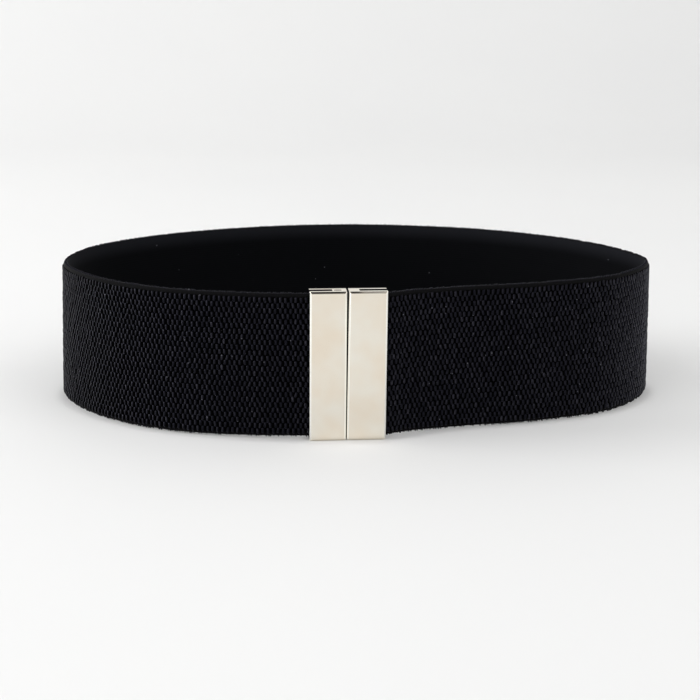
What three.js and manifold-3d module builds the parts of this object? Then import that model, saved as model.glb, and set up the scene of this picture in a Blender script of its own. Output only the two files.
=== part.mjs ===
// Wide elastic stretch belt, fastened and standing on its lower edge.
// The band is one strip of woven elastic bent into a loop. Each of its ends sits in the slot
// of one clasp half, and the two halves hook into each other at the seam.
// Millimetres, +Z up. The clasp faces -Y, the loop lies behind it and z = 0 is the surface.
import * as THREE from "three";
import * as BufferGeometryUtils from "three/addons/utils/BufferGeometryUtils.js";
import Module from "manifold-3d";

// Band
const BAND_WIDTH = 60;
const PANEL_THICKNESS = 2.2;
const SELVEDGE_THICKNESS = 1.6;
const SELVEDGE_HEIGHT = 1.9;
const EDGE_CHAMFER = 0.4;

// Loop, along the middle of the band's thickness
const LOOP_WIDTH = 258;
const LOOP_DEPTH = 153;
const STEP_LENGTH = 4.2;

// How the band leaves the clasp: it hangs a little above the surface there and sinks to it
// within LIFT_REACH, and on the right it swings back within a short run
const BAND_LIFT = 0.6;
const LIFT_REACH = 60;
const STRAIGHT_RUN = 1;
const SWING_RUN = 8.6;
const SWING_BACK = 4;

// Clasp
const LEFT_WIDTH = 14.8;
const RIGHT_WIDTH = 15.4;
const SEAM_GAP = 0.3;
const SEAM_SPREAD = 0.45;
const TOP_OVERHANG = 0.9;
const FRONT_PLATE = 2.3;
const BACK_PLATE = 2.3;
const CLASP_BEVEL = 0.7;
const CLEARANCE = 0.3;

// Hook on the left half, and the wall that closes its pocket in the right half
const HOOK_NECK = 1.3;
const HOOK_NECK_THICKNESS = 1.4;
const HOOK_LIP = 1.1;
const HOOK_LIP_DEPTH = 3;
const HOOK_MARGIN = 4;
const POCKET_WALL = 1.7;

// Small well in the top of the left half's web, between the slot and the seam
const SLOT_WALL = 0.9;
const WELL_LENGTH = 2.8;
const WELL_WIDTH = 1.2;
const WELL_SINK = 2;
const SEAM_WALL = 2.1;

// How far a cutter runs past a face, and the hook's root into its own half
const OVERLAP = 1;
const MERGE_TOLERANCE = 1e-4;

// Loop seen from above, from the left of the clasp round the back to its right.
// across: from the clasp's middle, a share of LOOP_WIDTH. back: behind the slots, of LOOP_DEPTH.
const LOOP_SECTIONS = [
  { across: -0.146, back: 0.022 },
  { across: -0.289, back: 0.098 },
  { across: -0.399, back: 0.246 },
  { across: -0.457, back: 0.451 },
  { across: -0.414, back: 0.678 },
  { across: -0.293, back: 0.851 },
  { across: -0.154, back: 0.953 },
  { across: -0.011, back: 0.998 },
  { across: 0.149, back: 0.98 },
  { across: 0.327, back: 0.879 },
  { across: 0.48, back: 0.666 },
  { across: 0.542, back: 0.401 },
  { across: 0.457, back: 0.199 },
  { across: 0.315, back: 0.107 },
  { across: 0.19, back: 0.07 },
];

// What follows from the sizes above: the clasp's middle is x = 0 and its front is y = 0
const SLOT_WIDTH = PANEL_THICKNESS + 2 * CLEARANCE;
const CLASP_DEPTH = FRONT_PLATE + SLOT_WIDTH + BACK_PLATE;
const CLASP_HEIGHT = BAND_LIFT + BAND_WIDTH + TOP_OVERHANG;
const LEFT_WEB = SLOT_WALL + WELL_LENGTH + SEAM_WALL;
const RIGHT_WEB = HOOK_NECK + HOOK_LIP + CLEARANCE + POCKET_WALL;
const CLASP_WIDTH = LEFT_WIDTH + SEAM_GAP + SEAM_SPREAD + RIGHT_WIDTH;
const SLOT_MIDDLE = FRONT_PLATE + SLOT_WIDTH / 2;
const SEAM_LEFT = -CLASP_WIDTH / 2 + LEFT_WIDTH;
const SEAM_RIGHT = SEAM_LEFT + SEAM_GAP;

const elastic = new THREE.MeshStandardMaterial({
  color: 0x101012,
  roughness: 0.85,
  metalness: 0,
});
const paleGold = new THREE.MeshStandardMaterial({
  color: 0xe0d8c6,
  roughness: 0.18,
  metalness: 1,
});

const wasm = await Module();
wasm.setup();

function toSolid(geometry) {
  const bare = geometry.clone();
  bare.deleteAttribute("normal");
  bare.deleteAttribute("uv");
  const merged = BufferGeometryUtils.mergeVertices(bare, MERGE_TOLERANCE);
  const vertProperties = new Float32Array(merged.attributes.position.array);
  const triVerts = new Uint32Array(merged.index.array);
  return new wasm.Manifold(new wasm.Mesh({ numProp: 3, vertProperties, triVerts }));
}

function toGeometry(solid) {
  const mesh = solid.getMesh();
  const geometry = new THREE.BufferGeometry();
  geometry.setAttribute("position", new THREE.BufferAttribute(mesh.vertProperties, 3));
  geometry.setIndex(new THREE.BufferAttribute(mesh.triVerts, 1));
  geometry.computeVertexNormals();
  return geometry;
}

// A box between two corners, low and high
function boxSolid(low, high) {
  const box = new THREE.Box3(new THREE.Vector3(...low), new THREE.Vector3(...high));
  const size = box.getSize(new THREE.Vector3());
  const middle = box.getCenter(new THREE.Vector3());
  const geometry = new THREE.BoxGeometry(size.x, size.y, size.z);
  geometry.translate(middle.x, middle.y, middle.z);
  return toSolid(geometry);
}

// Section of the band: x runs through its thickness towards the outside, y up its width.
// The ribbed panel stands proud of a thinner selvedge along both edges.
function bandSection() {
  const inside = -PANEL_THICKNESS / 2;
  const outside = PANEL_THICKNESS / 2;
  const selvedge = inside + SELVEDGE_THICKNESS;
  const shoulder = SELVEDGE_HEIGHT + outside - selvedge;
  return new THREE.Shape([
    new THREE.Vector2(inside + EDGE_CHAMFER, 0),
    new THREE.Vector2(selvedge - EDGE_CHAMFER, 0),
    new THREE.Vector2(selvedge, EDGE_CHAMFER),
    new THREE.Vector2(selvedge, SELVEDGE_HEIGHT),
    new THREE.Vector2(outside, shoulder),
    new THREE.Vector2(outside, BAND_WIDTH - shoulder),
    new THREE.Vector2(selvedge, BAND_WIDTH - SELVEDGE_HEIGHT),
    new THREE.Vector2(selvedge, BAND_WIDTH - EDGE_CHAMFER),
    new THREE.Vector2(selvedge - EDGE_CHAMFER, BAND_WIDTH),
    new THREE.Vector2(inside + EDGE_CHAMFER, BAND_WIDTH),
    new THREE.Vector2(inside, BAND_WIDTH - EDGE_CHAMFER),
    new THREE.Vector2(inside, EDGE_CHAMFER),
  ]);
}

// Points along the band's middle, from its end in the left half to its end in the right half
function bandRoute() {
  const leftEnd = new THREE.Vector3(SEAM_LEFT - LEFT_WEB - CLEARANCE, SLOT_MIDDLE, 0);
  const leftExit = new THREE.Vector3(-CLASP_WIDTH / 2 - STRAIGHT_RUN, SLOT_MIDDLE, 0);
  const rightExit = new THREE.Vector3(CLASP_WIDTH / 2 + STRAIGHT_RUN, SLOT_MIDDLE, 0);
  const rightEnd = new THREE.Vector3(
    SEAM_RIGHT + SEAM_SPREAD + RIGHT_WEB + CLEARANCE,
    SLOT_MIDDLE,
    0,
  );
  const swing = rightExit.clone().add(new THREE.Vector3(SWING_RUN, SWING_BACK, 0));
  const sections = LOOP_SECTIONS.map(
    ({ across, back }) =>
      new THREE.Vector3(across * LOOP_WIDTH, SLOT_MIDDLE + back * LOOP_DEPTH, 0),
  );
  const loop = new THREE.CatmullRomCurve3([leftExit, ...sections, swing, rightExit]);
  const steps = Math.round(loop.getLength() / STEP_LENGTH);
  return [leftEnd, ...loop.getSpacedPoints(steps), rightEnd];
}

// How high the band's lower edge is at a given distance along the band from the clasp
function liftAt(distance) {
  return BAND_LIFT * (1 - THREE.MathUtils.smoothstep(distance, 0, LIFT_REACH));
}

// The section is extruded straight with one step for each stretch of the route, so that a
// vertex's z says which point of the route it belongs to, and is then moved there
function bandGeometry() {
  const route = bandRoute();
  const last = route.length - 1;
  const travelled = [0];
  for (let i = 1; i <= last; i += 1) {
    travelled.push(travelled[i - 1] + route[i].distanceTo(route[i - 1]));
  }
  const geometry = new THREE.ExtrudeGeometry(bandSection(), {
    depth: last,
    steps: last,
    bevelEnabled: false,
  });
  const position = geometry.attributes.position;
  for (let v = 0; v < position.count; v += 1) {
    const i = Math.round(position.getZ(v));
    const before = route[Math.max(i - 1, 0)];
    const after = route[Math.min(i + 1, last)];
    const along = after.clone().sub(before).normalize();
    const outward = new THREE.Vector3(-along.y, along.x, 0).multiplyScalar(position.getX(v));
    const place = route[i].clone().add(outward);
    const fromEnd = Math.min(travelled[i], travelled[last] - travelled[i]);
    position.setXYZ(v, place.x, place.y, position.getY(v) + liftAt(fromEnd));
  }
  return toGeometry(toSolid(geometry));
}

// One clasp half: an upright block with bevelled front and back edges. The outline is drawn
// from the front, and the seam edge may lean.
function claspBlock(outline) {
  const geometry = new THREE.ExtrudeGeometry(new THREE.Shape(outline), {
    depth: CLASP_DEPTH - 2 * CLASP_BEVEL,
    bevelThickness: CLASP_BEVEL,
    bevelSize: CLASP_BEVEL,
    bevelOffset: -CLASP_BEVEL,
    bevelSegments: 1,
  });
  geometry.rotateX(Math.PI / 2);
  geometry.translate(0, CLASP_DEPTH - CLASP_BEVEL, 0);
  return toSolid(geometry);
}

// The slot that takes the band's end, open at the side, the top and the bottom
function slotCut(fromX, toX) {
  return boxSolid(
    [fromX, FRONT_PLATE, -OVERLAP],
    [toX, FRONT_PLATE + SLOT_WIDTH, CLASP_HEIGHT + OVERLAP],
  );
}

// The hook seen from above is an L: a neck across the seam and a lip behind the far wall.
// grow widens it on every side for the pocket that it hangs in.
function hookSolid(grow, lowZ, highZ) {
  const neckY = CLASP_DEPTH / 2 - HOOK_LIP_DEPTH / 2;
  const lipX = SEAM_RIGHT + SEAM_SPREAD + HOOK_NECK;
  const neck = boxSolid(
    [SEAM_LEFT - OVERLAP, neckY - grow, lowZ],
    [lipX + HOOK_LIP + grow, neckY + HOOK_NECK_THICKNESS + grow, highZ],
  );
  const lip = boxSolid(
    [lipX - grow, neckY - grow, lowZ],
    [lipX + HOOK_LIP + grow, neckY + HOOK_LIP_DEPTH + grow, highZ],
  );
  return neck.add(lip);
}

function claspLeftGeometry() {
  const side = -CLASP_WIDTH / 2;
  const block = claspBlock([
    new THREE.Vector2(side, 0),
    new THREE.Vector2(SEAM_LEFT, 0),
    new THREE.Vector2(SEAM_LEFT, CLASP_HEIGHT),
    new THREE.Vector2(side, CLASP_HEIGHT),
  ]);
  const slotEnd = SEAM_LEFT - LEFT_WEB;
  const slot = slotCut(side - OVERLAP, slotEnd);
  const well = boxSolid(
    [slotEnd + SLOT_WALL, SLOT_MIDDLE - WELL_WIDTH / 2, CLASP_HEIGHT - WELL_SINK],
    [SEAM_LEFT - SEAM_WALL, SLOT_MIDDLE + WELL_WIDTH / 2, CLASP_HEIGHT + OVERLAP],
  );
  const hook = hookSolid(0, HOOK_MARGIN, CLASP_HEIGHT - HOOK_MARGIN);
  return toGeometry(block.subtract(slot).subtract(well).add(hook));
}

function claspRightGeometry() {
  const side = CLASP_WIDTH / 2;
  const block = claspBlock([
    new THREE.Vector2(SEAM_RIGHT, 0),
    new THREE.Vector2(side, 0),
    new THREE.Vector2(side, CLASP_HEIGHT),
    new THREE.Vector2(SEAM_RIGHT + SEAM_SPREAD, CLASP_HEIGHT),
  ]);
  const slot = slotCut(SEAM_RIGHT + SEAM_SPREAD + RIGHT_WEB, side + OVERLAP);
  const pocket = hookSolid(CLEARANCE, -OVERLAP, CLASP_HEIGHT - HOOK_MARGIN + CLEARANCE);
  return toGeometry(block.subtract(slot).subtract(pocket));
}

function addPiece(group, name, geometry, material) {
  const mesh = new THREE.Mesh(geometry, material);
  mesh.name = name;
  group.add(mesh);
}

// The finished belt is moved so that the middle of its footprint is the origin
const belt = new THREE.Group();
addPiece(belt, "elastic_band", bandGeometry(), elastic);
addPiece(belt, "clasp_left", claspLeftGeometry(), paleGold);
addPiece(belt, "clasp_right", claspRightGeometry(), paleGold);
const footprint = new THREE.Box3().setFromObject(belt, true).getCenter(new THREE.Vector3());
belt.position.set(-footprint.x, -footprint.y, 0);

export default belt;
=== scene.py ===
import math

import bmesh
import bpy
import numpy as np
from mathutils import Matrix, Vector


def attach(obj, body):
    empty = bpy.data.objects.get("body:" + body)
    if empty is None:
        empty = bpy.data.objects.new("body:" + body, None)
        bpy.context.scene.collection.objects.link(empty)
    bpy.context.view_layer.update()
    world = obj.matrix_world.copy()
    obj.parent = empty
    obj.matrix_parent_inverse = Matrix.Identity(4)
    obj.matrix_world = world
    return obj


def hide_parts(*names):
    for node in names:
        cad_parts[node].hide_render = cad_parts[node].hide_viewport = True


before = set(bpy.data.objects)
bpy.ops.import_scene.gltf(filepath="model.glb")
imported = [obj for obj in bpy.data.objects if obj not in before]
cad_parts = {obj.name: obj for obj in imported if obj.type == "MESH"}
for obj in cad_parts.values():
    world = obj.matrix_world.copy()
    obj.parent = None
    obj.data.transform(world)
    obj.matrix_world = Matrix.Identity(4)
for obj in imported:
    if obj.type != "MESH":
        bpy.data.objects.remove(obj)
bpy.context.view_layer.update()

# The camera stands 0.56 m in front of the belt, a little to its left, 191 mm above the table, and looks
# 15 degrees down along a long lens, so that the loop opens as a slim oval above its front.
CAMERA_PLACE = (-0.0646, -0.6401, 0.1914)
CAMERA_TURN, CAMERA_DOWN, CAMERA_ROLL = (math.radians(a) for a in (5.51, 15.23, 0.57))
CAMERA_LENS = 75.7
camera = bpy.data.objects.new("photo_camera", bpy.data.cameras.new("photo_camera"))
camera.data.lens = CAMERA_LENS
camera.location = CAMERA_PLACE
camera.rotation_euler = (
    Matrix.Rotation(-CAMERA_TURN, 4, "Z")
    @ Matrix.Rotation(math.pi / 2 - CAMERA_DOWN, 4, "X")
    @ Matrix.Rotation(CAMERA_ROLL, 4, "Z")
).to_euler()
bpy.context.collection.objects.link(camera)
bpy.context.scene.camera = camera
bpy.context.scene.view_settings.view_transform = "Standard"
bpy.context.scene.view_settings.look = "None"


# The table and the wall behind it are one sheet of matt white board, laid flat and swept up at the back in
# a wide curve, so that no corner shows.
FLOOR_REACH, WALL_PLACE, WALL_HEIGHT, SWEEP, SWEEP_STEPS = 3.0, 1.7, 2.6, 0.9, 24
BOARD_WHITE, BOARD_SHADE = "#f1f1f0", "#ececec"
CLOUDS_A_METRE = 3.0


def linear(hex_colour):
    """A hex sRGB colour as the linear colour that a shader socket takes."""
    parts = [int(hex_colour[k:k + 2], 16) / 255 for k in (1, 3, 5)]
    return (*(c / 12.92 if c < 0.04045 else ((c + 0.055) / 1.055) ** 2.4 for c in parts), 1.0)


def add_node(tree, kind, settings=None, **inputs):
    """A shader node with its settings. Each input is a value or a socket, and is named with _ for a space,
    or slot_ and its number where inputs share a name."""
    node = tree.nodes.new("ShaderNode" + kind)
    for name, value in (settings or {}).items():
        setattr(node, name, value)
    for name, value in inputs.items():
        socket = node.inputs[int(name[5:]) if name.startswith("slot_") else name.replace("_", " ")]
        if isinstance(value, bpy.types.NodeSocket):
            tree.links.new(value, socket)
        else:
            socket.default_value = value
    return node


def new_material(name):
    """An empty node material and its output."""
    material = bpy.data.materials.new(name)
    material.use_nodes = True
    material.node_tree.nodes.clear()
    return material, material.node_tree, add_node(material.node_tree, "OutputMaterial")


def start_piece(name, add, size, place):
    """Deselects all, adds a primitive at its size and place, and leaves its place and size in its mesh."""
    if bpy.context.object and bpy.context.object.mode != "OBJECT":
        bpy.ops.object.mode_set(mode="OBJECT")
    bpy.ops.object.select_all(action="DESELECT")
    add()
    piece = bpy.context.object
    piece.name = piece.data.name = name
    piece.scale, piece.location = size, place
    bpy.ops.object.transform_apply(location=True, rotation=True, scale=True)
    return piece


def pick(piece, kind, test):
    """In edit mode, selects only the faces or edges that the test names by middle and normal or span."""
    bpy.ops.mesh.select_mode(type=kind)
    bpy.ops.mesh.select_all(action="DESELECT")
    shape = bmesh.from_edit_mesh(piece.data)
    if kind == "FACE":
        for face in shape.faces:
            face.select_set(bool(test(face.calc_center_median(), face.normal)))
    else:
        for edge in shape.edges:
            a, b = (v.co for v in edge.verts)
            edge.select_set(bool(test((a + b) / 2, b - a)))
    bmesh.update_edit_mesh(piece.data)


table = start_piece("table_board", bpy.ops.mesh.primitive_plane_add, (FLOOR_REACH, FLOOR_REACH, 1),
                    (0, WALL_PLACE - FLOOR_REACH, 0))
bpy.ops.object.mode_set(mode="EDIT")
pick(table, "EDGE", lambda middle, span: middle.y > WALL_PLACE - 0.01)
bpy.ops.mesh.extrude_region_move(TRANSFORM_OT_translate={"value": (0, 0, WALL_HEIGHT)})
pick(table, "EDGE", lambda middle, span: middle.y > WALL_PLACE - 0.01 and middle.z < 0.01)
bpy.ops.mesh.bevel(offset=SWEEP, segments=SWEEP_STEPS, affect="EDGES")
bpy.ops.object.mode_set(mode="OBJECT")
bpy.ops.object.shade_smooth()
if table.data.polygons[0].normal.z < 0:
    table.data.flip_normals()

# Coated board: matt white, with a very soft cloudiness, each cloud a third of a metre wide, and no grain
# that the eye can catch.
board, tree, out = new_material("coated_board_matt_white")
where = add_node(tree, "TexCoord").outputs["Object"]
cloud = add_node(tree, "TexNoise", Vector=where, Scale=CLOUDS_A_METRE, Detail=2.0)
tone = add_node(tree, "Mix", {"data_type": "RGBA"}, Factor=cloud.outputs["Fac"],
                slot_6=linear(BOARD_WHITE), slot_7=linear(BOARD_SHADE))
surface = add_node(tree, "BsdfPrincipled", Base_Color=tone.outputs[2], Roughness=0.75)
surface.inputs["Specular IOR Level"].default_value = 0.2
tree.links.new(surface.outputs[0], out.inputs[0])
table.data.materials.append(board)


# A white studio stands round the table: pale walls, a ceiling that is dark except at the right and shows so
# in the clasp's top bevel, and wide soft boxes at both front corners, with fainter ones behind. A low one
# at the left rakes over the ribs, and a small one overhead draws the thin shadow under the front edge.
WALL_WHITE, CEILING_PALE, CEILING_DARK = "#ffffff", "#e8e8e8", "#060607"
CEILING_START, CEILING_FULL = 0.72, 0.93  # as the sine of the height that the eye looks up to
PALE_FROM, DARK_FROM = 0.109, 0.101  # how far to the right, on the same scale
ROOM_STRENGTH = 0.68
BELT_MIDDLE = (0, 0, 0.03)
SOFT_BOXES = (  # name, place and side in metres, watts
    ("soft_box_left", (-1.15, -1.0, 1.5), 1.4, 9.4),
    ("soft_box_right", (1.2, -0.9, 1.5), 1.4, 7.1),
    ("soft_box_top", (0.0, 0.07, 2.0), 0.13, 6.3),
    ("soft_box_side", (-1.7, 0.1, 0.52), 0.7, 14.0),
    ("soft_box_back_left", (-1.5, 0.8, 0.7), 1.0, 3.2),
    ("soft_box_back_right", (1.5, 0.8, 0.7), 1.0, 0.7),
)
room = bpy.data.worlds.new("white_studio")
bpy.context.scene.world = room
room.use_nodes = True
tree = room.node_tree
tree.nodes.clear()
look = add_node(tree, "TexCoord").outputs["Generated"]
aim = add_node(tree, "SeparateXYZ", Vector=look)
steepness = add_node(tree, "MapRange", {"interpolation_type": "SMOOTHSTEP"}, Value=aim.outputs["Z"],
                     From_Min=CEILING_START, From_Max=CEILING_FULL)
leftness = add_node(tree, "MapRange", {"interpolation_type": "SMOOTHSTEP"}, Value=aim.outputs["X"],
                    From_Min=PALE_FROM, From_Max=DARK_FROM)
ceiling = add_node(tree, "Mix", {"data_type": "RGBA"}, Factor=leftness.outputs[0],
                   slot_6=linear(CEILING_PALE), slot_7=linear(CEILING_DARK))
paint = add_node(tree, "Mix", {"data_type": "RGBA"}, Factor=steepness.outputs[0],
                 slot_6=linear(WALL_WHITE), slot_7=ceiling.outputs[2])
glow = add_node(tree, "Background", Color=paint.outputs[2], Strength=ROOM_STRENGTH)
add_node(tree, "OutputWorld", Surface=glow.outputs[0])

for name, place, side, watts in SOFT_BOXES:
    lamp = bpy.data.lights.new(name, "AREA")
    lamp.size, lamp.energy = side, watts
    box = bpy.data.objects.new(name, lamp)
    box.location = place
    box.rotation_euler = (Vector(BELT_MIDDLE) - box.location).to_track_quat("-Z", "Y").to_euler()
    bpy.context.collection.objects.link(box)


# The band is one strip of woven black elastic, 60 mm wide and 2.2 mm thick, bent edge up into an oval. Its
# smooth ground weave carries the ribs and ends in a plain selvedge along both edges. Each end is clamped in
# a slot of the clasp. The oval is 1.3 mm deeper than the solid's, and the lower edge leans out a little.
MM = 0.001  # the sizes from here on are in millimetres
FRAME_SHIFT = np.array([-11.002, -78.887])  # from the clasp's own middle and front to the part's frame
BAND_WIDTH, LOOP_WIDTH, LOOP_DEPTH, SLOT_MIDDLE = 60.0, 258.0, 154.3, 3.7
LOOP_SECTIONS = (  # across and back, as shares of the loop's width and depth, from the clasp's left round
    (-0.146, 0.022), (-0.289, 0.098), (-0.399, 0.246), (-0.457, 0.451), (-0.414, 0.678),
    (-0.293, 0.851), (-0.154, 0.953), (-0.011, 0.998), (0.149, 0.98), (0.327, 0.879),
    (0.48, 0.666), (0.542, 0.401), (0.457, 0.199), (0.315, 0.107), (0.19, 0.07),
)
LEFT_END, LEFT_EXIT = (-6.775, SLOT_MIDDLE), (-16.475, SLOT_MIDDLE)
RIGHT_END, RIGHT_EXIT, SWING_POINT = (4.775, SLOT_MIDDLE), (16.475, SLOT_MIDDLE), (25.075, 7.7)
STEPS_A_SECTION = 60
BAND_LIFT, LIFT_REACH = 0.6, 60.0
# How much further out the lower edge stands than the upper, how far from the band's ends the lean starts,
# and how far on it is full.
LOWER_SPREAD, SPREAD_START, SPREAD_REACH = 1.9, 10.0, 50.0
INNER_FACE, SELVEDGE_FACE, GROUND_FACE, RIB_CREST = -1.1, 0.5, 0.2, 1.1  # from the band's middle outwards
EDGE_ROUND, SELVEDGE_HEIGHT, SHOULDER = 0.55, 1.75, 0.25
LOWER_LOOP_PROUD, UPPER_LOOP_PROUD = 0.72, 0.4  # room left for the loops along both edges
COLUMN_PITCH_WANTED = 2.05
ROW_HEIGHT = 1.08
ROW_WAVE = 2 * math.pi / (20 * ROW_HEIGHT * MM)  # the scale at which a wave node draws one band a row
GROUND_SLOT, CORE_SHADE_SLOT, BACK_SLOT = 0, 1, 2
# The cores' near dead black is their own black darkened further: painted shade.
CORE_SHADE_BLACK, CORE_WORN = "#010101", "#050506"
GROUND_BLACK, GROUND_SOFT = "#050506", "#0a0a0c"
# The soft back colour also paints light along the back's upper edge.
BACK_DEEP, BACK_SOFT, LINT_GREY = "#050608", "#1b1c20", "#59595e"
CORE_GRAIN, THREAD = 0.5, 0.35
THREAD_SHARE = 0.6  # how strongly the threads stand out beside the rows
BACK_ROW_SHARE = 0.12
BACK_EDGE_START, BACK_EDGE_FULL = 9, 1  # below the upper edge
BACK_LINT_GAP, BACK_LINT_SPECK = 9, 0.03  # the speck as a share of the gap


def rounded_route(corners, steps):
    """Centripetal Catmull-Rom points through the corners, as the solid band is laid."""
    corners = [np.array(c, float) for c in corners]
    corners = [2 * corners[0] - corners[1], *corners, 2 * corners[-1] - corners[-2]]
    route = []
    for a, b, c, d in zip(corners, corners[1:], corners[2:], corners[3:]):
        ab, bc, cd = (np.linalg.norm(q - p) ** 0.5 for p, q in ((a, b), (b, c), (c, d)))
        leave = ((b - a) / ab - (c - a) / (ab + bc) + (c - b) / bc) * bc
        arrive = ((c - b) / bc - (d - b) / (bc + cd) + (d - c) / cd) * bc
        for t in np.arange(steps) / steps:
            route.append(b * (2 * t**3 - 3 * t**2 + 1) + leave * (t**3 - 2 * t**2 + t)
                         + c * (3 * t**2 - 2 * t**3) + arrive * (t**3 - t**2))
    return [*route, corners[-2]]


sections = [(across * LOOP_WIDTH, SLOT_MIDDLE + back * LOOP_DEPTH) for across, back in LOOP_SECTIONS]
loop = rounded_route([LEFT_EXIT, *sections, SWING_POINT, RIGHT_EXIT], STEPS_A_SECTION)
route = (np.array([LEFT_END, *loop, RIGHT_END]) + FRAME_SHIFT) * MM
BAND_LENGTH = float(np.linalg.norm(np.diff(route, axis=0), axis=1).sum())
COLUMNS = round(BAND_LENGTH / (COLUMN_PITCH_WANTED * MM))
COLUMN_PITCH = BAND_LENGTH / COLUMNS

line = bpy.data.curves.new("band_route", "CURVE")
line.dimensions, line.twist_mode = "3D", "Z_UP"
spline = line.splines.new("POLY")
spline.points.add(len(route) - 1)
spline.points.foreach_set("co", np.column_stack([route, np.zeros(len(route)), np.ones(len(route))]).ravel())
band_route = bpy.data.objects.new("band_route", line)
bpy.context.collection.objects.link(band_route)


def apply_modifiers(piece, *kinds):
    """Adds each modifier with its settings and applies it."""
    bpy.context.view_layer.objects.active = piece
    for kind, settings in kinds:
        added = piece.modifiers.new(kind.lower(), kind)
        for name, value in settings.items():
            setattr(added, name, value)
        bpy.ops.object.modifier_apply(modifier=added.name)


def places(piece):
    """The piece's vertex places as an array, a row for each."""
    spots = np.empty(len(piece.data.vertices) * 3, np.float32)
    piece.data.vertices.foreach_get("co", spots)
    return spots.reshape(-1, 3)


def eased(share):
    """A share from 0 to 1, eased in and out."""
    share = share.clip(0, 1)
    return share * share * (3 - 2 * share)


def bend_round(piece):
    """Maps the straight piece in metres for its weave, lifts both ends to the clasp, leans the lower edge
    out and lays the piece round."""
    spots = places(piece)
    corner = np.empty(len(piece.data.loops), np.int32)
    piece.data.loops.foreach_get("vertex_index", corner)
    chart = piece.data.uv_layers.get("along_and_up") or piece.data.uv_layers.new(name="along_and_up")
    chart.data.foreach_set("uv", spots[corner][:, [0, 2]].ravel())
    nearest = np.minimum(spots[:, 0], BAND_LENGTH - spots[:, 0]) / MM
    held = 1 - eased(nearest / LIFT_REACH)
    free = eased((nearest - SPREAD_START) / SPREAD_REACH)
    spots[:, 1] += LOWER_SPREAD * free * (0.5 * MM - spots[:, 2] / BAND_WIDTH)
    spots[:, 2] += BAND_LIFT * MM * held
    piece.data.vertices.foreach_set("co", spots.ravel())
    apply_modifiers(piece, ("CURVE", {"object": band_route, "deform_axis": "POS_X"}))


SLICE = COLUMN_PITCH / 2
low, high = LOWER_LOOP_PROUD, BAND_WIDTH - UPPER_LOOP_PROUD
band = start_piece(
    "elastic_ground", bpy.ops.mesh.primitive_cube_add,
    (SLICE / 2, (SELVEDGE_FACE - INNER_FACE) / 2 * MM, (high - low) / 2 * MM),
    (SLICE / 2, (SELVEDGE_FACE + INNER_FACE) / 2 * MM, (high + low) / 2 * MM))
bpy.ops.object.mode_set(mode="EDIT")
pick(band, "FACE", lambda middle, normal: abs(normal.x) > 0.9)
bpy.ops.mesh.delete(type="FACE")
pick(band, "EDGE", lambda middle, span: abs(span.x) > SLICE / 2)
bpy.ops.mesh.bevel(offset=EDGE_ROUND * MM, segments=4, affect="EDGES")
for height in (SELVEDGE_HEIGHT, SELVEDGE_HEIGHT + SHOULDER):
    for cut in (height, BAND_WIDTH - height):
        pick(band, "FACE", lambda middle, normal: normal.y > 0.9)
        bpy.ops.mesh.bisect(plane_co=(0, 0, cut * MM), plane_no=(0, 0, 1))
panel_middle, panel_reach = BAND_WIDTH / 2 * MM, BAND_WIDTH / 3 * MM
pick(band, "FACE", lambda middle, normal: normal.y > 0.9 and abs(middle.z - panel_middle) < panel_reach)
bpy.ops.transform.translate(value=(0, (GROUND_FACE - SELVEDGE_FACE) * MM, 0))
for slot in (GROUND_SLOT, CORE_SHADE_SLOT, BACK_SLOT):
    band.data.materials.append(None)
# The recessed panel between the selvedges, seen only between the ribs, takes the core material as painted
# shade.
band.active_material_index = CORE_SHADE_SLOT
bpy.ops.object.material_slot_assign()
pick(band, "FACE", lambda middle, normal: normal.y < -0.9)
band.active_material_index = BACK_SLOT
bpy.ops.object.material_slot_assign()
bpy.ops.object.mode_set(mode="OBJECT")
apply_modifiers(band, ("ARRAY", {"count": 2 * COLUMNS, "use_relative_offset": False,
                                 "use_constant_offset": True, "constant_offset_displace": (SLICE, 0, 0),
                                 "use_merge_vertices": True, "merge_threshold": 0.01 * MM}))
bpy.ops.object.mode_set(mode="EDIT")
bpy.ops.mesh.select_all(action="SELECT")
bpy.ops.mesh.fill_holes(sides=0)
bpy.ops.mesh.normals_make_consistent(inside=False)
bpy.ops.object.mode_set(mode="OBJECT")
bend_round(band)
bpy.ops.object.shade_smooth_by_angle(angle=math.radians(50))

# Covered rubber cores lie bare between the ribs. Their black is partly their own and partly painted shade:
# they are drawn near dead black, as if no light got down between the ribs.
core, tree, out = new_material("rubber_core_painted_shade_black")
where = add_node(tree, "TexCoord").outputs["Object"]
grain = add_node(tree, "TexNoise", Vector=where, Scale=1 / (CORE_GRAIN * MM), Detail=1.0)
tone = add_node(tree, "Mix", {"data_type": "RGBA"}, Factor=grain.outputs["Fac"],
                slot_6=linear(CORE_SHADE_BLACK), slot_7=linear(CORE_WORN))
surface = add_node(tree, "BsdfPrincipled", Base_Color=tone.outputs[2], Roughness=0.95)
surface.inputs["Specular IOR Level"].default_value = 0.03
tree.links.new(surface.outputs[0], out.inputs[0])
band.data.materials[CORE_SHADE_SLOT] = core

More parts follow.
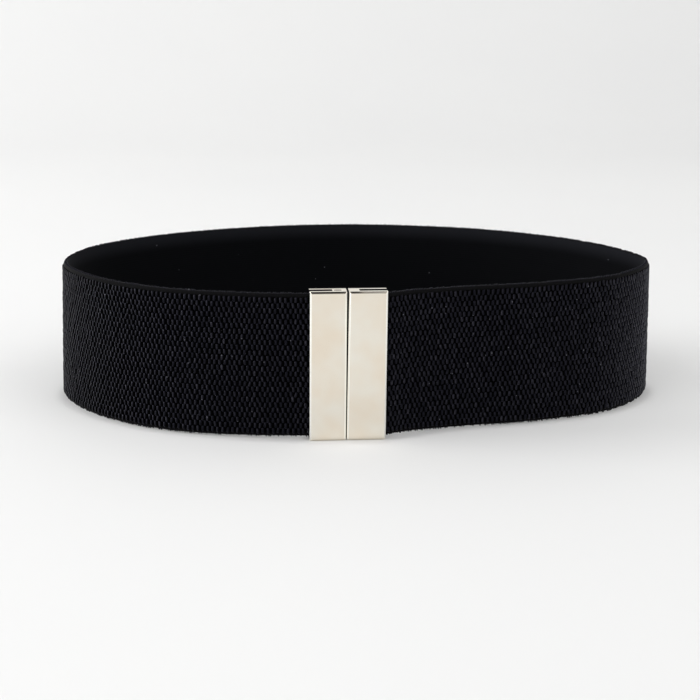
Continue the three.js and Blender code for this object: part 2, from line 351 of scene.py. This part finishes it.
# Covered rubber and nylon, woven flat: deep matt black, with rows a millimetre apart along the band and a
# thread-fine unevenness that softens every edge. Turned away from the eye it greys, as nylon nap does.
ground_weave, tree, out = new_material("woven_elastic_ground_black")
spread = add_node(tree, "UVMap", {"uv_map": "along_and_up"}).outputs["UV"]
rows = add_node(tree, "TexWave", {"wave_type": "BANDS", "bands_direction": "Y"}, Vector=spread,
                Scale=ROW_WAVE, Distortion=0.6, Detail=1.0)
threads = add_node(tree, "TexNoise", Vector=spread, Scale=1 / (THREAD * MM), Detail=2.0)
both = add_node(tree, "Math", {"operation": "MULTIPLY_ADD"}, slot_0=threads.outputs["Fac"],
                slot_1=THREAD_SHARE, slot_2=rows.outputs["Fac"])
relief = add_node(tree, "Bump", Height=both.outputs[0], Strength=0.5, Distance=0.12 * MM)
tone = add_node(tree, "Mix", {"data_type": "RGBA"}, Factor=threads.outputs["Fac"],
                slot_6=linear(GROUND_BLACK), slot_7=linear(GROUND_SOFT))
surface = add_node(tree, "BsdfPrincipled", Base_Color=tone.outputs[2], Roughness=0.8,
                   Normal=relief.outputs[0], Sheen_Weight=0.06, Sheen_Roughness=0.35)
surface.inputs["Specular IOR Level"].default_value = 0.08
tree.links.new(surface.outputs[0], out.inputs[0])
band.data.materials[GROUND_SLOT] = ground_weave

# The back of the weave, toward the body, is brushed flat: a shade deeper and cooler, with the rows as faint
# lines along the band and specks of lint caught in the nap. Its upper edge is painted greyer, as painted
# light that reaches only a little way down inside the loop.
back_weave, tree, out = new_material("woven_elastic_brushed_back_black")
spread = add_node(tree, "UVMap", {"uv_map": "along_and_up"}).outputs["UV"]
height = add_node(tree, "SeparateXYZ", Vector=spread).outputs["Y"]
# Painted light: greyer toward the upper edge of the back.
painted_light_near_edge = add_node(tree, "MapRange", {"interpolation_type": "SMOOTHSTEP"}, Value=height,
                     From_Min=(BAND_WIDTH - BACK_EDGE_START) * MM,
                     From_Max=(BAND_WIDTH - BACK_EDGE_FULL) * MM)
rows = add_node(tree, "TexWave", {"wave_type": "BANDS", "bands_direction": "Y"}, Vector=spread,
                Scale=ROW_WAVE, Distortion=0.8, Detail=1.0)
faint = add_node(tree, "Math", {"operation": "MULTIPLY"}, slot_0=rows.outputs["Fac"],
                 slot_1=BACK_ROW_SHARE)
lift = add_node(tree, "Math", {"operation": "MAXIMUM"}, slot_0=faint.outputs[0],
                slot_1=painted_light_near_edge.outputs[0])
tone_with_painted_light = add_node(tree, "Mix", {"data_type": "RGBA"}, Factor=lift.outputs[0],
                slot_6=linear(BACK_DEEP), slot_7=linear(BACK_SOFT))
lint = add_node(tree, "TexVoronoi", Vector=spread, Scale=1 / (BACK_LINT_GAP * MM))
speck = add_node(tree, "Math", {"operation": "LESS_THAN"}, slot_0=lint.outputs["Distance"],
                 slot_1=BACK_LINT_SPECK)
tone = add_node(tree, "Mix", {"data_type": "RGBA"}, Factor=speck.outputs[0],
                slot_6=tone_with_painted_light.outputs[2], slot_7=linear(LINT_GREY))
surface = add_node(tree, "BsdfPrincipled", Base_Color=tone.outputs[2], Roughness=0.85,
                   Sheen_Weight=0.03, Sheen_Roughness=0.35)
surface.inputs["Specular IOR Level"].default_value = 0.05
tree.links.new(surface.outputs[0], out.inputs[0])
band.data.materials[BACK_SLOT] = back_weave
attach(band, "root")
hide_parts("elastic_band")


# The outer face is covered with short raised ribs, floats of black yarn in brick order, each 1.4 mm wide,
# 2.3 mm long and flat on top, in 26 rows between the selvedges. Their feet, their walls and their sides
# away from the light take the cores' near-black: painted shade.
ROWS = 26
ROW_PITCH = 2.16
RIB_HALF_WIDTH, RIB_HALF_LENGTH, RIB_FOOT, RIB_ROUND = 0.68, 1.16, 0.15, 0.34
RIB_LEAN, RIB_HEIGHT_SPREAD, RIB_SHIFT_ALONG, RIB_SHIFT_UP = math.radians(5), 0.06, 0.08, 0.10
# The next lines set a painted highlight on each rib, high on its crest and on the side toward the lamps at
# the left, in a colour between the dim and the lit tone at random; the root colour below it is painted
# shade.
LIT_SIDE, LIT_SIDE_SPREAD = 0.45, 0.12  # how much the crest leans to one side, from rib to rib
CREST_START, CREST_FULL = 0.85, 1.35
RIB_PAINTED_SHADE, RIB_DIM, RIB_LIT = "#020203", "#141419", "#323137"
NAP_BLUE, GLOSS_BLUE = "#c8caff", "#d8d8ff"
FILAMENT_WIDTH, FILAMENT_LENGTH, FILAMENT_DARK, FILAMENT_BRIGHT = 0.40, 2.2, 0.36, 0.6
LINT_GAP, LINT_SPECK = 3.2, 0.075  # the speck as a share of the gap
chance = np.random.default_rng(26)


def lay_ribs(name, first_row, start):
    """Every second row of ribs, from the first row up, set off along the band by start pitches."""
    base_row = (BAND_WIDTH - ROWS * ROW_PITCH) / 2 + (first_row + 0.5) * ROW_PITCH
    rib = start_piece(
        name, bpy.ops.mesh.primitive_cube_add,
        (RIB_HALF_WIDTH * MM, (RIB_CREST - RIB_FOOT) / 2 * MM, RIB_HALF_LENGTH * MM),
        (start * COLUMN_PITCH, (RIB_CREST + RIB_FOOT) / 2 * MM, base_row * MM))
    bpy.ops.object.mode_set(mode="EDIT")
    pick(rib, "EDGE", lambda middle, span: middle.y > (RIB_FOOT + 0.1) * MM)
    bpy.ops.mesh.bevel(offset=RIB_ROUND * MM, segments=1, affect="EDGES")
    rib.data.materials.append(None)
    rib.data.materials.append(core)
    # Walls, feet and the side turned away from the lamps get the core material: painted shade.
    pick(rib, "FACE", lambda middle, normal: normal.y < 0.3 or normal.x < -0.4)
    rib.active_material_index = 1
    bpy.ops.object.material_slot_assign()
    bpy.ops.object.mode_set(mode="OBJECT")
    bpy.ops.object.shade_smooth_by_angle(angle=math.radians(60))
    corners = len(rib.data.vertices)
    apply_modifiers(
        rib,
        ("ARRAY", {"count": ROWS // 2, "use_relative_offset": False, "use_constant_offset": True,
                   "constant_offset_displace": (0, 0, 2 * ROW_PITCH * MM)}),
        ("ARRAY", {"count": COLUMNS, "use_relative_offset": False, "use_constant_offset": True,
                   "constant_offset_displace": (COLUMN_PITCH, 0, 0)}))
    spots = places(rib).reshape(-1, corners, 3)
    many = len(spots)
    foot = spots[:, :, 1:2].min(axis=1, keepdims=True)
    middle = spots.mean(axis=1, keepdims=True)
    lean = chance.normal(0, RIB_LEAN, (many, 1))
    spots[:, :, 0] += (spots[:, :, 2] - middle[:, :, 2]) * np.tan(lean)
    taller = 1 + chance.normal(0, RIB_HEIGHT_SPREAD, (many, 1, 1))
    spots[:, :, 1:2] = foot + (spots[:, :, 1:2] - foot) * taller
    spots[:, :, 0] += chance.normal(0, RIB_SHIFT_ALONG * MM, (many, 1))
    spots[:, :, 2] += chance.normal(0, RIB_SHIFT_UP * MM, (many, 1))
    rib.data.vertices.foreach_set("co", spots.ravel())
    rise = (spots[:, :, 1] - foot[:, :, 0]) / ((RIB_CREST - RIB_FOOT) * MM)
    aside = (spots[:, :, 0] - middle[:, :, 0]) / (RIB_HALF_WIDTH * MM)
    toward_light = aside * chance.normal(LIT_SIDE, LIT_SIDE_SPREAD, (many, 1))
    crest = rib.data.attributes.new("yarn_crest", "FLOAT", "POINT")
    crest.data.foreach_set("value", (rise + toward_light).ravel())
    shade = rib.data.attributes.new("yarn_shade", "FLOAT", "POINT")
    shade.data.foreach_set("value", np.repeat(chance.random(many).astype(np.float32), corners))
    bend_round(rib)
    return rib


ribs = [lay_ribs("elastic_ribs_odd", 0, 0.25), lay_ribs("elastic_ribs_even", 1, 0.75)]

# Textured nylon yarn: black, with a soft bluish gloss. Its colour carries painted light: a painted
# highlight along one side of each crest, in a tone that differs a little from float to float, and painted
# shade below it down to the foot. Its filaments are really as fine as hair, and are drawn 0.4 mm wide so
# that they still show. A fleck of lint clings here and there.
yarn, tree, out = new_material("textured_nylon_yarn_black")
spread = add_node(tree, "UVMap", {"uv_map": "along_and_up"}).outputs["UV"]
shade = add_node(tree, "Attribute", {"attribute_name": "yarn_shade"}).outputs["Fac"]
narrow = add_node(tree, "Mapping", Vector=spread,
                  Scale=(1 / (FILAMENT_WIDTH * MM), 1 / (FILAMENT_LENGTH * MM), 1.0))
filaments = add_node(tree, "TexNoise", Vector=narrow.outputs[0], Scale=1.0, Detail=2.0, Roughness=0.6)
relief = add_node(tree, "Bump", Height=filaments.outputs["Fac"], Strength=0.55, Distance=0.15 * MM)
float_tone = add_node(tree, "Mix", {"data_type": "RGBA"}, Factor=shade,
                      slot_6=linear(RIB_DIM), slot_7=linear(RIB_LIT))
crest = add_node(tree, "Attribute", {"attribute_name": "yarn_crest"}).outputs["Fac"]
lit_part = add_node(tree, "MapRange", {"interpolation_type": "SMOOTHSTEP"}, Value=crest,
                    From_Min=CREST_START, From_Max=CREST_FULL)
streak = add_node(tree, "MapRange", Value=filaments.outputs["Fac"], From_Min=FILAMENT_DARK,
                  From_Max=FILAMENT_BRIGHT)
lit_streak = add_node(tree, "Math", {"operation": "MULTIPLY"}, slot_0=streak.outputs[0],
                      slot_1=lit_part.outputs[0])
# Painted light: the lit streak on each crest, and painted shade down to the rib's foot.
tone_with_painted_light = add_node(tree, "Mix", {"data_type": "RGBA"}, Factor=lit_streak.outputs[0],
                slot_6=linear(RIB_PAINTED_SHADE), slot_7=float_tone.outputs[2])
lint = add_node(tree, "TexVoronoi", Vector=spread, Scale=1 / (LINT_GAP * MM))
speck = add_node(tree, "Math", {"operation": "LESS_THAN"}, slot_0=lint.outputs["Distance"],
                 slot_1=LINT_SPECK)
tone = add_node(tree, "Mix", {"data_type": "RGBA"}, Factor=speck.outputs[0],
                slot_6=tone_with_painted_light.outputs[2], slot_7=linear(LINT_GREY))
surface = add_node(tree, "BsdfPrincipled", Base_Color=tone.outputs[2], Roughness=0.4,
                   Normal=relief.outputs[0], Sheen_Weight=0.09, Sheen_Roughness=0.25,
                   Sheen_Tint=linear(NAP_BLUE))
surface.inputs["Specular IOR Level"].default_value = 0.15
surface.inputs["Specular Tint"].default_value = linear(GLOSS_BLUE)
tree.links.new(surface.outputs[0], out.inputs[0])
for rib in ribs:
    rib.data.materials[0] = yarn
    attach(rib, "root")


# Along both edges the weft turns back in small tight loops, two to a rib, each drawn as a bead with its
# poles toward the two faces. They give the lower edge its fine scallops and the upper its slight roughness.
LOOP_HALF_LENGTH, LOOP_HALF_THICK = 0.36, 0.62
UPPER_LOOP_SUNK = 0.42
# Their crest value lies below where the ribs' painted highlight starts, so the loops get no painted
# highlight and take the near-black of the ribs' painted shade.
LOOP_SHIFT_ALONG, LOOP_SINK_MOST, LOOP_CREST = 0.15, 0.7, 0.8
selvedge_middle = (INNER_FACE + SELVEDGE_FACE) / 2
for name, height, unevenness in (("selvedge_loops_lower", LOOP_HALF_THICK, 0.32),
                                 ("selvedge_loops_upper", BAND_WIDTH - UPPER_LOOP_SUNK, 0.2)):
    bead = start_piece(
        name, lambda: bpy.ops.mesh.primitive_uv_sphere_add(segments=8, ring_count=4, radius=1,
                                                           rotation=(math.pi / 2, 0, 0)),
        (LOOP_HALF_LENGTH * MM, LOOP_HALF_THICK * MM, LOOP_HALF_THICK * MM),
        (SLICE / 2, selvedge_middle * MM, height * MM))
    bpy.ops.object.shade_smooth()
    corners = len(bead.data.vertices)
    apply_modifiers(bead, ("ARRAY", {"count": 2 * COLUMNS, "use_relative_offset": False,
                                     "use_constant_offset": True,
                                     "constant_offset_displace": (SLICE, 0, 0)}))
    spots = places(bead).reshape(-1, corners, 3)
    many = len(spots)
    inward = 1 if height < BAND_WIDTH / 2 else -1
    spots[:, :, 0] += chance.normal(0, LOOP_SHIFT_ALONG * MM, (many, 1))
    sunk = np.abs(chance.normal(0, unevenness * MM, (many, 1))).clip(0, LOOP_SINK_MOST * MM)
    spots[:, :, 2] += inward * sunk
    bead.data.vertices.foreach_set("co", spots.ravel())
    shade = bead.data.attributes.new("yarn_shade", "FLOAT", "POINT")
    shade.data.foreach_set("value", np.repeat(chance.random(many).astype(np.float32), corners))
    crest = bead.data.attributes.new("yarn_crest", "FLOAT", "POINT")
    crest.data.foreach_set("value", np.full(many * corners, LOOP_CREST, np.float32))
    bend_round(bead)
    bead.data.materials.append(yarn)
    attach(bead, "root")
bpy.data.objects.remove(band_route)


# The clasp is two flat hollow blocks of zinc alloy, die-cast with a narrow bevel round the face, polished
# and plated pale gold. They hook into each other at the seam.
PLATE_GOLD, PLATE_WARM = "#eeeadf", "#eadecc"
# The first colour is a painted highlight for the side bevels, the second painted shade for the hollows.
BEVEL_PAINTED_HIGHLIGHT, HOLLOW_PAINTED_SHADE = "#fffdf6", "#120f0d"
EDGE_SOFTENING, WELD_GAP = 0.12, 0.002
PATCH_SIZE, RIPPLE_SIZE, RIPPLE_DEPTH = 16, 9, 0.4
POLISHED, HOLLOW_ROUGHNESS = 0.08, 0.6  # roughness
BEVEL_TURN, BEVEL_TURN_SPREAD = 0.6, 0.33  # how far to the side a bevel faces
FACE_PLANE, BEVEL_DEPTH, CLASP_TOP, SEAM_PLACE, SEAM_REACH = -78.887, 0.7, 61.5, -11.5, 1.3
SLOT_FRONT, SLOT_BACK, SLOT_BLEED = -76.587, -73.787, 0.3
SHADE_BEHIND_BEVEL, SHADE_BELOW_TOP = 0.08, 0.02  # how far behind the bevel and below the top the painted shade of the hollows starts

# Pale gold plate, polished: it mirrors the pale studio, with a faint ripple left by the buffing wheel and
# broad patches, hard to see, where the gold is a little warmer.
gold, tree, out = new_material("plated_zinc_pale_gold_polished")
where = add_node(tree, "TexCoord").outputs["Object"]
blotch = add_node(tree, "TexNoise", Vector=where, Scale=1 / (PATCH_SIZE * MM), Detail=2.0, Roughness=0.6)
patch = add_node(tree, "MapRange", {"interpolation_type": "SMOOTHSTEP"}, Value=blotch.outputs["Fac"],
                 From_Min=0.2, From_Max=0.8)
tone = add_node(tree, "Mix", {"data_type": "RGBA"}, Factor=patch.outputs[0],
                slot_6=linear(PLATE_GOLD), slot_7=linear(PLATE_WARM))
ripple = add_node(tree, "TexNoise", Vector=where, Scale=1 / (RIPPLE_SIZE * MM), Detail=1.0)
relief = add_node(tree, "Bump", Height=ripple.outputs["Fac"], Strength=0.15, Distance=RIPPLE_DEPTH * MM)
# Faces turned partly to the side, the side bevels above all, are painted nearly white: a painted highlight
# for the bright studio that they mirror.
facing = add_node(tree, "SeparateXYZ", Vector=add_node(tree, "NewGeometry").outputs["Normal"])
turned = add_node(tree, "Math", {"operation": "ABSOLUTE"}, slot_0=facing.outputs["X"])
bevel_highlight_mask = add_node(tree, "Math", {"operation": "COMPARE"}, slot_0=turned.outputs[0], slot_1=BEVEL_TURN,
                  slot_2=BEVEL_TURN_SPREAD)
tone_with_bevel_highlight = add_node(tree, "Mix", {"data_type": "RGBA"}, Factor=bevel_highlight_mask.outputs[0],
                    slot_6=tone.outputs[2], slot_7=linear(BEVEL_PAINTED_HIGHLIGHT))
# Inside the seam and the slots the metal is painted dark and made rough: painted shade in the hollows
# between and inside the parts.
spot = add_node(tree, "SeparateXYZ", Vector=where)
in_seam = add_node(tree, "Math", {"operation": "COMPARE"}, slot_0=spot.outputs["X"],
                   slot_1=SEAM_PLACE * MM, slot_2=SEAM_REACH * MM)
behind_face = add_node(tree, "Math", {"operation": "GREATER_THAN"}, slot_0=spot.outputs["Y"],
                       slot_1=(FACE_PLANE + BEVEL_DEPTH + SHADE_BEHIND_BEVEL) * MM)
seam = add_node(tree, "Math", {"operation": "MULTIPLY"}, slot_0=in_seam.outputs[0],
                slot_1=behind_face.outputs[0])
slots = add_node(tree, "Math", {"operation": "COMPARE"}, slot_0=spot.outputs["Y"],
                 slot_1=(SLOT_FRONT + SLOT_BACK) / 2 * MM,
                 slot_2=((SLOT_BACK - SLOT_FRONT) / 2 + SLOT_BLEED) * MM)
either = add_node(tree, "Math", {"operation": "MAXIMUM"}, slot_0=seam.outputs[0], slot_1=slots.outputs[0])
below_top = add_node(tree, "Math", {"operation": "LESS_THAN"}, slot_0=spot.outputs["Z"],
                     slot_1=(CLASP_TOP - SHADE_BELOW_TOP) * MM)
hollow = add_node(tree, "Math", {"operation": "MULTIPLY"}, slot_0=either.outputs[0],
                  slot_1=below_top.outputs[0])
tone_with_hollow_shade = add_node(tree, "Mix", {"data_type": "RGBA"}, Factor=hollow.outputs[0],
                slot_6=tone_with_bevel_highlight.outputs[2], slot_7=linear(HOLLOW_PAINTED_SHADE))
dullness = add_node(tree, "MapRange", Value=hollow.outputs[0], To_Min=POLISHED, To_Max=HOLLOW_ROUGHNESS)
surface = add_node(tree, "BsdfPrincipled", Base_Color=tone_with_hollow_shade.outputs[2], Metallic=1.0,
                   Roughness=dullness.outputs[0], Normal=relief.outputs[0])
tree.links.new(surface.outputs[0], out.inputs[0])
for name in ("clasp_left", "clasp_right"):
    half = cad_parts[name]
    weld = half.modifiers.new("weld", "WELD")
    weld.merge_threshold = WELD_GAP * MM
    rounding = half.modifiers.new("rounding", "BEVEL")
    rounding.width, rounding.segments = EDGE_SOFTENING * MM, 2
    rounding.limit_method, rounding.angle_limit = "ANGLE", math.radians(25)
    half.data.materials.clear()
    half.data.materials.append(gold)
